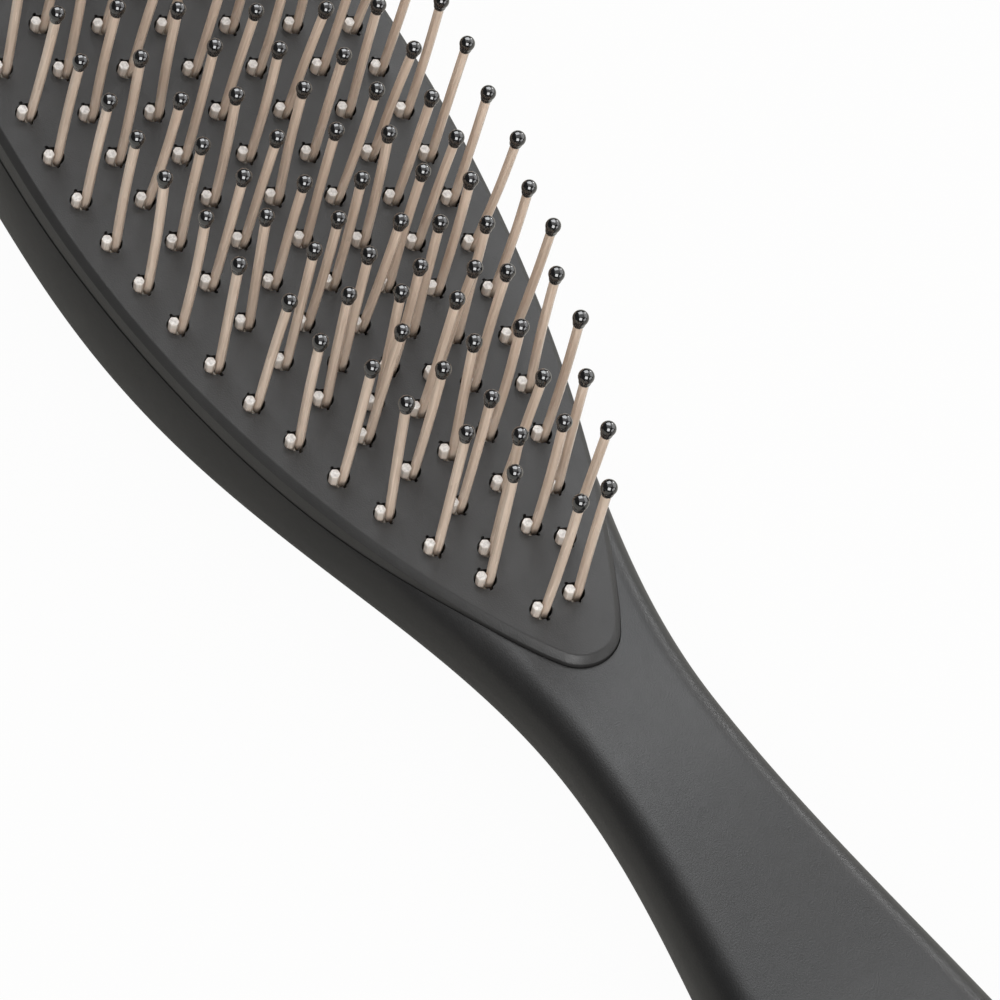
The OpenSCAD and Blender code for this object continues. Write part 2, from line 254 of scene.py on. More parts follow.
    def plate_side(self, margin: float, steps: int = 150, tip_steps: int = 24) -> Ring:
        """Walks one side of the plate's outline from the neck to the far end.

        Args:
            margin: Distance outward from the outer line of pins.
            steps: Points on the run towards the neck and on the head, closer together at their ends.
            tip_steps: Points round the tip at the neck.

        Returns:
            Points (arc length, distance across).
        """
        tip_start, neck_crowding, head_crowding = self.line_neck_run * 0.985, 1.3, 2.2
        turn = math.atan2(1.0, -self.outer_slope(tip_start))
        arc = [turn * i / tip_steps for i in range(tip_steps + 1)]
        neck_run = [tip_start * (1.0 - i / steps) ** neck_crowding for i in range(steps + 1)]
        head_run = [-self.line_head_run * (1.0 - (1.0 - i / steps) ** head_crowding) for i in range(1, steps)]
        points = [(self.line_neck_run + margin * math.cos(a), margin * math.sin(a)) for a in arc]
        points += [self.beside_line(u, margin) for u in neck_run + head_run]
        return points + [(-self.line_head_run - margin, 0.0)]


class Side(Enum):
    """The two moulded halves of the body."""

    FRONT = "front"
    BACK = "back"


# Meshes

def piece_from(name: str, points: list[Point], faces: list[Face], crease: float = 35.0) -> Piece:
    """Makes a mesh object, smooth but for its creases.

    Args:
        name: Name of the new piece.
        points: Corners in metres.
        faces: Corner numbers of each face.
        crease: Angle in degrees above which an edge stays sharp.

    Returns:
        The object, linked to the scene.
    """
    mesh = bpy.data.meshes.new(name)
    mesh.from_pydata(points, [], faces)
    mesh.validate()
    obj = bpy.data.objects.new(name, mesh)
    bpy.context.scene.collection.objects.link(obj)
    soften(obj, crease)
    return obj


def soften(obj: Piece, crease: float) -> None:
    """Shades a mesh smooth with sharp edges above the angle crease, in degrees."""
    obj.data.shade_smooth()
    obj.data.set_sharp_from_angle(angle=math.radians(crease))


def coat(obj: Piece, *materials: bpy.types.Material) -> None:
    """Gives a piece its materials.

    Args:
        obj: The piece.
        materials: Its materials, which replace all that it had.
    """
    obj.data.materials.clear()
    for material in materials:
        obj.data.materials.append(material)


def placed(place: Matrix, x: float, y: float, z: float) -> Point:
    """Returns a point given in millimetres, moved by a matrix that is in metres."""
    return tuple(place @ Vector((x * MM, y * MM, z * MM)))


def band(start: int, count: int) -> list[Face]:
    """Returns the faces between a ring of count points from start and the ring after it."""
    sides = [(start + k, start + (k + 1) % count) for k in range(count)]
    return [(a, b, count + b, count + a) for a, b in sides]


def loft(rings: list[list[Point]], first: Point, last: Point) -> tuple[list[Point], list[Face]]:
    """Joins closed rings into one closed skin with a point at each end.

    Args:
        rings: Rings with the same number of points.
        first: Point that closes the first ring.
        last: Point that closes the last ring.

    Returns:
        Points and faces.
    """
    count = len(rings[0])
    points = [first] + [p for ring in rings for p in ring] + [last]
    end = len(points) - 1
    faces: list[Face] = []
    for j in range(count):
        k = (j + 1) % count
        faces.append((0, 1 + j, 1 + k))
        faces.append((end, end - count + k, end - count + j))
        for i in range(len(rings) - 1):
            a = 1 + i * count
            faces.append((a + j, a + count + j, a + count + k, a + k))
    return points, faces


def cut_away(obj: Piece, cutter: Piece) -> None:
    """Cuts one closed mesh out of another.

    Args:
        obj: What is cut.
        cutter: What is cut out, removed afterwards.
    """
    modifier = obj.modifiers.new("cut", "BOOLEAN")
    modifier.operation = "DIFFERENCE"
    modifier.solver = "EXACT"
    modifier.object = cutter
    graph = bpy.context.evaluated_depsgraph_get()
    result = bpy.data.meshes.new_from_object(obj.evaluated_get(graph))
    obj.modifiers.clear()
    obj.data = result
    bpy.data.objects.remove(cutter)


def fix_outward(obj: Piece) -> None:
    """Turns every face of a mesh outward.

    Args:
        obj: The closed mesh.
    """
    work = bmesh.new()
    work.from_mesh(obj.data)
    bmesh.ops.recalc_face_normals(work, faces=work.faces)
    work.to_mesh(obj.data)
    work.free()


# Finishes

@dataclass(frozen=True)
class Colour:
    """A linear colour."""

    red: float
    green: float
    blue: float

    def rgba(self) -> tuple[float, float, float, float]:
        """Returns the colour as a socket takes it."""
        return (self.red, self.green, self.blue, 1.0)


Socket = bpy.types.NodeSocket
MIX_ENDS = {"FLOAT": (2, 3), "RGBA": (6, 7)}
MIX_RESULT = {"FLOAT": 0, "RGBA": 2}


class NodeSheet:
    """A material's nodes, with short ways to add and join them."""

    def __init__(self, name: str) -> None:
        """Makes a material with one surface shader.

        Args:
            name: Name of the material.
        """
        self.material = bpy.data.materials.new(name)
        self.material.use_nodes = True
        self.tree = self.material.node_tree
        self.shader = self.tree.nodes["Principled BSDF"]
        self.place = self.tree.nodes.new("ShaderNodeTexCoord").outputs["Object"]

    def node(self, kind: str, **values: object) -> bpy.types.Node:
        """Adds a node and sets its options.

        Args:
            kind: Node type without its prefix.
            values: Options by attribute name.

        Returns:
            The node.
        """
        made = self.tree.nodes.new("ShaderNode" + kind)
        for key, value in values.items():
            setattr(made, key, value)
        return made

    def join(self, start: Socket, end: Socket) -> None:
        """Links two sockets."""
        self.tree.links.new(start, end)

    def drive(self, name: str, value: Socket) -> None:
        """Joins a socket to the shader's input of that name."""
        self.join(value, self.shader.inputs[name])

    def set(self, name: str, value: float | tuple[float, ...]) -> None:
        """Sets the shader's input of that name to one value."""
        self.shader.inputs[name].default_value = value

    def stretched(self, scale: Point) -> Socket:
        """Scales the object's coordinates.

        Args:
            scale: Factor on each axis.

        Returns:
            The coordinates.
        """
        made = self.node("Mapping")
        made.inputs["Scale"].default_value = scale
        self.join(self.place, made.inputs["Vector"])
        return made.outputs["Vector"]

    def noise(self, where: Socket, scale: float, detail: float, rough: float) -> Socket:
        """Adds a noise.

        Args:
            where: Coordinates.
            scale: Fineness of the noise, per unit of the coordinates.
            detail: Number of octaves.
            rough: Weight of the finer octaves.

        Returns:
            The noise's value.
        """
        made = self.node("TexNoise")
        made.inputs["Scale"].default_value = scale
        made.inputs["Detail"].default_value = detail
        made.inputs["Roughness"].default_value = rough
        self.join(where, made.inputs["Vector"])
        return made.outputs["Fac"]

    def ramp(self, value: Socket, low: Colour, high: Colour, start: float, end: float) -> Socket:
        """Maps a value to a run of two colours.

        Args:
            value: The value, from 0 to 1.
            low, high: Colours of the two ends.
            start, end: Values at which the ends lie.

        Returns:
            The colour.
        """
        made = self.node("ValToRGB")
        made.color_ramp.elements[0].position = start
        made.color_ramp.elements[0].color = low.rgba()
        made.color_ramp.elements[1].position = end
        made.color_ramp.elements[1].color = high.rgba()
        self.join(value, made.inputs["Fac"])
        return made.outputs["Color"]

    def mixed(self, kind: str, share: Socket | float, first: Socket, second: Socket | Colour) -> Socket:
        """Mixes two values or two colours.

        Args:
            kind: "FLOAT" for values or "RGBA" for colours.
            share: Share of the second one.
            first, second: What is mixed.

        Returns:
            The mixed value or colour.
        """
        made = self.node("Mix", data_type=kind)
        factor, ends, result = made.inputs[0], MIX_ENDS[kind], made.outputs[MIX_RESULT[kind]]
        if isinstance(share, float):
            factor.default_value = share
        else:
            self.join(share, factor)
        self.join(first, made.inputs[ends[0]])
        if isinstance(second, Colour):
            made.inputs[ends[1]].default_value = second.rgba()
        else:
            self.join(second, made.inputs[ends[1]])
        return result

    def spread(self, value: Socket, low: float, high: float) -> Socket:
        """Maps a value to a range.

        Args:
            value: The value, from 0 to 1.
            low, high: Ends of the range.

        Returns:
            The value in the range.
        """
        made = self.node("MapRange")
        made.inputs["To Min"].default_value = low
        made.inputs["To Max"].default_value = high
        self.join(value, made.inputs["Value"])
        return made.outputs["Result"]

    def bump(self, height: Socket, depth: float, strength: float, under: Socket | None = None) -> Socket:
        """Adds a bump.

        Args:
            height: Height from 0 to 1.
            depth: Depth of the bump in metres.
            strength: Strength from 0 to 1.
            under: A bump below this one.

        Returns:
            The normal.
        """
        made = self.node("Bump")
        made.inputs["Distance"].default_value = depth
        made.inputs["Strength"].default_value = strength
        self.join(height, made.inputs["Height"])
        if under is not None:
            self.join(under, made.inputs["Normal"])
        return made.outputs["Normal"]


@dataclass(frozen=True)
class MouldedPlastic:
    """Black moulded plastic with a fine spark-eroded skin.

    Args:
        name: Name of the material.
        low, high: The two colours that the surface drifts between.
        rough: Mean roughness.
        grain: Depth of the grain in metres.
        gloss: Specular level.
    """

    name: str
    low: Colour
    high: Colour
    rough: float
    grain: float
    gloss: float = 0.5

    def make(self) -> bpy.types.Material:
        """Builds the material.

        Returns:
            The material.
        """
        sheet = NodeSheet(self.name)
        drift = sheet.noise(sheet.place, 55.0, 3.0, 0.5)
        sheet.drive("Base Color", sheet.ramp(drift, self.low, self.high, 0.3, 0.7))
        wear = sheet.noise(sheet.stretched((1.0, 3.0, 1.0)), 240.0, 4.0, 0.6)
        sheet.drive("Roughness", sheet.spread(wear, self.rough - 0.05, self.rough + 0.07))
        fine = sheet.bump(sheet.noise(sheet.place, 5200.0, 2.0, 0.5), self.grain, 0.5)
        broad = sheet.bump(sheet.noise(sheet.place, 420.0, 2.0, 0.4), self.grain * 2.0, 0.25, fine)
        sheet.drive("Normal", broad)
        sheet.set("Specular IOR Level", self.gloss)
        return sheet.material


@dataclass(frozen=True)
class FilamentFinish:
    """Tan nylon filament, drawn lengthwise and slightly translucent.

    Args:
        name: Name of the material.
        low, high: The two colours of its lengthwise grain.
        pale: Colour of the stub, where the mesh's paleness is 1.
    """

    name: str = "filament_nylon"
    low: Colour = Colour(0.49, 0.38, 0.30)
    high: Colour = Colour(0.72, 0.595, 0.49)
    pale: Colour = Colour(0.63, 0.58, 0.53)

    def make(self) -> bpy.types.Material:
        """Builds the material.

        Returns:
            The material.
        """
        sheet = NodeSheet(self.name)
        strand = sheet.node("Attribute", attribute_name=STRAND).outputs["Vector"]
        drawn = sheet.noise(strand, 3.4, 3.0, 0.55)
        patch = sheet.noise(strand, 0.9, 2.0, 0.5)
        grain = sheet.ramp(sheet.mixed("FLOAT", 0.45, drawn, patch), self.low, self.high, 0.3, 0.7)
        paleness = sheet.node("Attribute", attribute_name=PALENESS).outputs["Fac"]
        sheet.drive("Base Color", sheet.mixed("RGBA", paleness, grain, self.pale))
        sheet.drive("Roughness", sheet.spread(patch, 0.2, 0.34))
        sheet.drive("Normal", sheet.bump(drawn, 0.00003, 0.5))
        sheet.set("Specular IOR Level", 0.7)
        sheet.set("Subsurface Weight", 0.15)
        sheet.set("Subsurface Radius", (1.0, 0.85, 0.75))
        sheet.set("Subsurface Scale", 0.0006)
        return sheet.material


@dataclass(frozen=True)
class CutEndFinish:
    """The paler, duller cut ends of the filaments."""

    name: str = "cut_end"
    low: Colour = Colour(0.48, 0.455, 0.43)
    high: Colour = Colour(0.76, 0.735, 0.705)

    def make(self) -> bpy.types.Material:
        """Builds the material.

        Returns:
            The material.
        """
        sheet = NodeSheet(self.name)
        spots = sheet.noise(sheet.place, 2600.0, 3.0, 0.6)
        sheet.drive("Base Color", sheet.ramp(spots, self.low, self.high, 0.35, 0.65))
        sheet.drive("Normal", sheet.bump(spots, 0.00006, 0.6))
        sheet.drive("Roughness", sheet.spread(spots, 0.4, 0.6))
        return sheet.material


@dataclass(frozen=True)
class BallFinish:
    """Glossy black dipped resin."""

    name: str = "ball_tip"
    low: Colour = Colour(0.002, 0.002, 0.0022)
    high: Colour = Colour(0.005, 0.005, 0.0052)

    def make(self) -> bpy.types.Material:
        """Builds the material.

        Returns:
            The material.
        """
        sheet = NodeSheet(self.name)
        drift = sheet.noise(sheet.place, 900.0, 2.0, 0.5)
        sheet.drive("Base Color", sheet.ramp(drift, self.low, self.high, 0.35, 0.65))
        sheet.drive("Roughness", sheet.spread(drift, 0.03, 0.07))
        ripple = sheet.noise(sheet.place, 1500.0, 1.0, 0.4)
        sheet.drive("Normal", sheet.bump(ripple, 0.00004, 0.25))
        sheet.set("IOR", 1.7)
        sheet.set("Coat Weight", 0.8)
        sheet.set("Coat Roughness", 0.04)
        return sheet.material


@dataclass(frozen=True)
class WireFinish:
    """Flat drawn anchor wire."""

    name: str = "anchor_wire"
    low: Colour = Colour(0.36, 0.33, 0.28)
    high: Colour = Colour(0.56, 0.53, 0.47)

    def make(self) -> bpy.types.Material:
        """Builds the material.

        Returns:
            The material.
        """
        sheet = NodeSheet(self.name)
        drawn = sheet.noise(sheet.stretched((0.05, 1.0, 1.0)), 4200.0, 3.0, 0.5)
        sheet.drive("Base Color", sheet.ramp(drawn, self.low, self.high, 0.3, 0.7))
        sheet.drive("Roughness", sheet.spread(drawn, 0.25, 0.42))
        sheet.drive("Normal", sheet.bump(drawn, 0.00002, 0.4))
        sheet.set("Metallic", 1.0)
        return sheet.material


# The brush

@dataclass
class BrushBody:
    """The two moulded halves, lofted along the bow.

    Args:
        form: The brush's sizes.
        finish: Finish of both halves.
        head_rings, middle_rings, end_rings: Sections along the head's end, the middle and the grip's end.
        tuck_steps, shoulder_steps, top_steps, back_steps: Steps of each run round a section.
        seam_lip, seam_gap: How far the seam's edge turns in, and half the gap there, in millimetres.
        crease: Angle in degrees above which an edge stays sharp.
    """

    form: BrushForm
    finish: MouldedPlastic
    head_rings: int = 56
    middle_rings: int = 180
    end_rings: int = 36
    tuck_steps: int = 9
    shoulder_steps: int = 18
    top_steps: int = 26
    back_steps: int = 44
    seam_lip: float = 0.22
    seam_gap: float = 0.06
    crease: float = 32.0

    def stations(self) -> list[float]:
        """Places the rings, closer together near the ends.

        Returns:
            The arc length of each ring.
        """
        form, right = self.form, math.pi / 2
        head = [-form.head_run * math.cos(right * i / self.head_rings) for i in range(1, self.head_rings)]
        middle = [form.grip_line * i / self.middle_rings for i in range(self.middle_rings + 1)]
        end = [form.grip_line + form.grip_end_run * math.sin(right * i / self.end_rings)
               for i in range(1, self.end_rings)]
        return head + middle + end

    def back_point(self, u: float, turn: float) -> Pair:
        """Finds a point of the rounded back.

        Args:
            u: Arc length of the section.
            turn: Angle in degrees below the widest level.

        Returns:
            The point (across, level).
        """
        form = self.form
        depth = form.blend(form.lower_h, u) * form.height_cap(u)
        c, s = math.cos(math.radians(turn)), math.sin(math.radians(turn))
        y = form.half_w(u) * math.copysign(abs(c) ** (2.0 / form.back_shape), c)
        return (y, form.side_level(u) - depth * abs(s) ** (2.0 / form.back_shape))

    def lip(self, u: float, up: float) -> Pair:
        """Returns the point just inside the seam, moved up or down by a little."""
        y, h = self.back_point(u, self.form.seam_turn)
        return (max(y - self.seam_lip, y * 0.5), h + up * self.form.height_cap(u))

    def section(self, u: float, side: Side) -> Ring:
        """Draws one closed section.

        Args:
            u: Arc length of the section.
            side: The half that is drawn.

        Returns:
            Points (across, level) in order round the section.
        """
        form = self.form
        if side is Side.BACK:
            turns = [form.seam_turn + (180.0 - 2.0 * form.seam_turn) * k / self.back_steps
                     for k in range(self.back_steps + 1)]
            y, h = self.lip(u, -self.seam_gap)
            return [(y, h)] + [self.back_point(u, t) for t in turns] + [(-y, h)]
        a, cap_h = form.half_w(u), form.height_cap(u)
        r = form.blend(form.shoulder_w, u) * form.width_cap(u)
        base, land = form.side_level(u), form.side_land * cap_h
        rise = form.blend(form.upper_h, u) * cap_h - land
        tucks = [form.seam_turn * k / self.tuck_steps for k in range(self.tuck_steps, -1, -1)]
        half = [self.lip(u, self.seam_gap)] + [self.back_point(u, turn) for turn in tucks]
        for k in range(self.shoulder_steps + 1):
            t = math.pi / 2 * k / self.shoulder_steps
            half.append((a - r + r * math.cos(t), base + land + rise * math.sin(t)))
        flat, level = a - r, base + land + rise
        top = [(flat * (1.0 - 2.0 * k / self.top_steps), level) for k in range(1, self.top_steps)]
        return half + top + [(-y, h) for y, h in reversed(half)]

    def half(self, side: Side) -> Piece:
        """Lofts one half of the body.

        Args:
            side: The half.

        Returns:
            The closed half.
        """
        form = self.form
        rings = [[form.at(u, y, h) for y, h in self.section(u, side)] for u in self.stations()]
        ends = [form.at(u, 0.0, form.side_level(u)) for u in (-form.head_run, form.body_end)]
        obj = piece_from(f"body_{side.value}", *loft(rings, ends[0], ends[1]))
        fix_outward(obj)
        return obj

    def pocket(self) -> Piece:
        """Builds the block that cuts the plate's pocket.

        Returns:
            The block.
        """
        form, above = self.form, 4.0
        margin = form.plate_margin + form.plate_gap
        return plate_block(form, "pocket", [(margin, -form.plate_t), (margin, above)])

    def build(self) -> list[Piece]:
        """Builds and dresses both halves.

        Returns:
            The two halves.
        """
        front, back = self.half(Side.FRONT), self.half(Side.BACK)
        cut_away(front, self.pocket())
        flatten_below(back, 0.0)
        material = self.finish.make()
        for obj, node in ((front, "front_shell"), (back, "back_shell")):
            coat(obj, material)
            soften(obj, self.crease)
            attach(obj, BODY)
            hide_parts(node)
        return [front, back]


def flatten_below(obj: Piece, level: float) -> None:
    """Cuts a mesh off at a level and closes it with a flat.

    Args:
        obj: The closed mesh.
        level: Height of the flat in metres.
    """
    work = bmesh.new()
    work.from_mesh(obj.data)
    everything = work.verts[:] + work.edges[:] + work.faces[:]
    bmesh.ops.bisect_plane(work, geom=everything, plane_co=(0.0, 0.0, level), plane_no=(0.0, 0.0, -1.0),
                           clear_outer=True)
    rim = [e for e in work.edges if e.is_boundary]
    bmesh.ops.holes_fill(work, edges=rim)
    bmesh.ops.recalc_face_normals(work, faces=work.faces)
    work.to_mesh(obj.data)
    work.free()


def plate_block(form: BrushForm, name: str, levels: list[Pair]) -> Piece:
    """Builds a block over the plate's outline with a bowed top and bottom.

    Args:
        form: The brush's sizes.
        name: Name of the block.
        levels: Margin and level of each ring of the wall, from the bottom up.

    Returns:
        The closed block.
    """
    points: list[Point] = []
    faces: list[Face] = []
    for margin, level in levels:
        side = form.plate_side(margin)
        loop = side + [(u, -y) for u, y in reversed(side[1:-1])]
        points += [form.at(u, y, level) for u, y in loop]
    count = len(points) // len(levels)
    for ring in range(len(levels) - 1):
        faces += band(ring * count, count)
    half = count // 2
    top = (len(levels) - 1) * count
    for k in range(1, half):
        strip = list(dict.fromkeys((k - 1, k, count - k, (count - k + 1) % count)))
        faces.append(tuple(top + i for i in strip))
        faces.append(tuple(reversed(strip)))
    faces.append((top + half - 1, top + half, top + half + 1))
    faces.append((half + 1, half, half - 1))
    obj = piece_from(name, points, faces)
    fix_outward(obj)
    return obj


# The end of a slit, from side to side: how far it falls short in millimetres, and its share of half the width
SLIT_END = ((0.12, -1.0), (0.02, -0.6), (0.0, 0.0), (0.03, 0.7), (0.13, 1.0))


@dataclass
class PinPlate:
    """The raised plate with its pin holes and their anchor slits.

    Args:
        form: The brush's sizes.
        pins: The pins that stand in the holes.
        finish: Finish of the plate.
        soft, base_bevel: Rounding of the chamfer's edges and bevel below, in millimetres.
        hole_d, hole_along_share: Width of a hole across the brush, and its length as a share of it.
        slit_w, slit_l: Width of the slits, and length over both of them.
        reach_spread, lean_spread, width_spread: Unevenness of a slit end's length and lean in millimetres,
            and of its width as a factor.
        seed: Seed of the unevenness.
        arc_steps: Steps of each half of a hole's round wall.
        crease: Angle in degrees above which an edge stays sharp.
    """

    form: BrushForm
    pins: "PinField"
    finish: MouldedPlastic
    soft: float = 0.09
    base_bevel: float = 0.2
    hole_d: float = 2.9
    hole_along_share: float = 0.93
    slit_w: float = 0.46
    slit_l: float = 3.3
    reach_spread: Pair = (-0.1, 0.14)
    lean_spread: float = 0.16
    width_spread: Pair = (0.9, 1.15)
    seed: int = 21
    arc_steps: int = 22
    crease: float = 28.0

    def block(self) -> Piece:
        """Builds the plate's block with a softened chamfer.

        Returns:
            The block, still without holes.
        """
        m, c, soft, bottom = self.form.plate_margin, self.form.plate_chamfer, self.soft, -self.form.plate_t
        # Two rings of the bevel below, three round the chamfer's lower edge and three round its upper edge
        levels = [(m - self.base_bevel, bottom), (m, bottom + self.base_bevel), (m, -c - soft),
                  (m - 0.02, -c - 0.02), (m - soft, -c + soft * 0.8), (m - c + soft, -soft * 0.9),
                  (m - c - 0.02, -0.015), (m - c - soft * 1.6, 0.0)]
        return plate_block(self.form, "plate", levels)

    def hole_outline(self, rng: np.random.Generator) -> Ring:
        """Draws a round hole with a slit end at each side, each a little uneven.

        Args:
            rng: Source of the unevenness.

        Returns:
            Points (along, across) round the hole.
        """
        radius, outline = self.hole_d / 2.0, []
        half_slit = self.slit_w / 2.0
        turn = math.asin(half_slit / radius)
        for side in (0.0, math.pi):
            reach = self.slit_l / 2.0 + rng.uniform(*self.reach_spread)
            lean = rng.uniform(-self.lean_spread, self.lean_spread)
            width = half_slit * rng.uniform(*self.width_spread)
            root = radius * math.cos(turn) * self.hole_along_share
            slit_end = [(reach - short, width * share + lean) for short, share in SLIT_END]
            ear = [(root, -half_slit)] + slit_end + [(root, half_slit)]
            c, s = math.cos(side), math.sin(side)
            outline += [(x * c - y * s, x * s + y * c) for x, y in ear]
            steps = range(1, self.arc_steps)
            arc = [turn + (math.pi - 2.0 * turn) * k / self.arc_steps + side for k in steps]
            outline += [(radius * math.cos(a) * self.hole_along_share, radius * math.sin(a)) for a in arc]
        return outline

    def cutters(self) -> Piece:
        """Builds all the holes as one cutter.

        Returns:
            The cutter.
        """
        rng, above = np.random.default_rng(self.seed), 1.0
        points: list[Point] = []
        faces: list[Face] = []
        for tuft in self.pins.tufts():
            outline = self.hole_outline(rng)
            base, count = len(points), len(outline)
            place = self.pins.matrix(tuft, leaning=False)
            for level in (-self.pins.hole_depth, above):
                points += [placed(place, x, y, level) for x, y in outline]
            faces.append(tuple(base + k for k in reversed(range(count))))
            faces.append(tuple(base + count + k for k in range(count)))
            faces += band(base, count)
        return piece_from("holes", points, faces)

    def build(self) -> Piece:
        """Builds and dresses the plate.

        Returns:
            The plate.
        """
        obj = self.block()
        cut_away(obj, self.cutters())
        coat(obj, self.finish.make())
        soften(obj, self.crease)
        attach(obj, BODY)
        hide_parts("pin_plate")
        return obj


# The sine that sets a pin's lean about X, then about Y: its steps in degrees from row to row and line to line
LEAN_STEPS = ((97, 211), (151, 67))
# The cut end of a stub, from its top down: drop in millimetres, size of the section and paleness
STUB = ((0.0, 0.9, 1.0), (0.03, 1.02, 1.0), (0.14, 1.07, 1.0), (0.5, 1.02, 0.85), (1.25, 1.0, 0.45))


@dataclass(frozen=True)
class Tuft:
    """One folded filament: its line, its place on the plate and its lean in degrees."""

    line: int
    u: float
    y: float
    lean_x: float
    lean_y: float


@dataclass
class PinField:
    """The lines of folded filaments with their ball tips.

    Args:
        form: The brush's sizes.
        filament, cut_end, ball: Finishes.
        line_count: Lines across the plate.
        first_rows, last_rows: First and last row of the outer line, then of each line further in.
        filament_d, leg_gap, pin_h, stub_h, hole_depth: Sizes of a folded filament, in millimetres.
        ball_d, ball_neck_h: Width of a ball, and depth of its neck below its middle.
        lean, bow: Greatest lean of a pin in degrees, and bow of its long leg in millimetres.
        corner, corner_turn: Rounding of the filament's six corners, in millimetres and in degrees.
        draw_share: How much slower the grain changes along a filament than across it.
        seed: Seed of the bows and of the balls' sizes.
        ball_sides, fold_steps, leg_steps: Steps of the meshes.
        crease, ball_crease: Angles in degrees above which an edge stays sharp.
    """

    form: BrushForm
    filament: FilamentFinish = field(default_factory=FilamentFinish)
    cut_end: CutEndFinish = field(default_factory=CutEndFinish)
    ball: BallFinish = field(default_factory=BallFinish)
    line_count: int = 7
    first_rows: tuple[int, ...] = (0, 3, 10, 7)
    last_rows: tuple[int, ...] = (36, 37, 32, 35)
    filament_d: float = 1.3
    leg_gap: float = 0.34
    pin_h: float = 24.6
    stub_h: float = 1.55
    hole_depth: float = 4.6
    ball_d: float = 2.0
    ball_neck_h: float = 1.35
    lean: float = 1.7
    bow: float = 0.16
    corner: float = 0.07
    corner_turn: float = 9.0
    draw_share: float = 0.05
    seed: int = 7
    ball_sides: int = 28
    fold_steps: int = 8
    leg_steps: int = 16
    crease: float = 24.0
    ball_crease: float = 60.0

    @property
    def apothem(self) -> float:
        """Returns half the width of the filament across its flats."""
        return self.filament_d / 2.0 * math.cos(math.pi / 6)

    @property
    def leg_y(self) -> float:
        """Returns the distance of each leg from the fold's middle."""
        return self.apothem + self.leg_gap / 2.0

    def kind(self, line: int) -> int:
        """Returns how many lines in from the outer one a line lies."""
        return min(line - 1, self.line_count - line)

    def tufts(self) -> list[Tuft]:
        """Lists every folded filament, line by line.

        Returns:
            The filaments of all lines.
        """
        form, made = self.form, []
        middle = (self.line_count + 1) // 2
        for line in range(1, self.line_count + 1):
            kind = self.kind(line)
            side = (line > middle) - (line < middle)
            for row in range(self.first_rows[kind], self.last_rows[kind] + 1, 2):
                u = form.line_neck_run - form.first_row - row * form.row_pitch
                outer = form.outer_y(u)
                second = max(outer - form.line_gap, form.second_line_min_y)
                y = side * (outer, second, second / 2.0, 0.0)[kind] - form.layout_shift
                turns = [math.radians(row * by_row + line * by_line) for by_row, by_line in LEAN_STEPS]
                made.append(Tuft(line, u, y, *(self.lean * math.sin(turn) for turn in turns)))
        return made

    def matrix(self, tuft: Tuft, leaning: bool = True) -> Matrix:
        """Places a tuft.

        Args:
            tuft: The folded filament.
            leaning: Whether it has its own lean.

        Returns:
            The place in the row frame, in metres.
        """
        place = Matrix.Translation(self.form.at(tuft.u, tuft.y, 0.0))
        place = place @ Matrix.Rotation(-self.form.bow_angle(tuft.u), 4, "Y")
        if leaning:
            place = place @ Matrix.Rotation(math.radians(tuft.lean_y), 4, "Y")
            place = place @ Matrix.Rotation(math.radians(tuft.lean_x), 4, "X")
        return place

    def outline(self) -> Ring:
        """Draws the six-sided filament with rounded corners.

        Returns:
            Points in millimetres round the filament.
        """
        ring: Ring = []
        radius = self.filament_d / 2.0
        for k in range(6):
            for turn, cut in ((-self.corner_turn, 0.62), (0.0, 0.35), (self.corner_turn, 0.62)):
                angle = math.radians(60 * k + turn)
                reach = radius - self.corner * cut
                ring.append((reach * math.cos(angle), reach * math.sin(angle)))
        return ring

    def path(self, rng: np.random.Generator) -> list[tuple[Point, float, float, float]]:
        """Walks the folded filament from its cut stub round the bend to its tip.

        Args:
            rng: Source of the small bow of the long leg.

        Returns:
            Points in millimetres, the heading in radians, the size of the section and its paleness.
        """
        clearance = 0.05
        bend = -(self.hole_depth - clearance - self.leg_y - self.apothem)
        bow_x, bow_y = rng.uniform(-self.bow, self.bow), rng.uniform(-self.bow, self.bow)
        walk = [((0.0, -self.leg_y, self.stub_h - drop), math.pi, size, pale) for drop, size, pale in STUB]
        for k in range(self.fold_steps + 1):
            a = math.pi * k / self.fold_steps
            y, z = -self.leg_y * math.cos(a), bend - self.leg_y * math.sin(a)
            walk.append(((0.0, y, z), math.pi - a, 1.0, 0.0))
        top = self.pin_h + self.ball_d / 8.0
        for k in range(1, self.leg_steps + 1):
            z = mix(bend, top, k / self.leg_steps)
            swell = math.sin(math.pi * z / top) if z > 0 else 0.0
            walk.append(((bow_x * swell, self.leg_y + bow_y * swell, z), 0.0, 1.0, 0.0))
        return walk

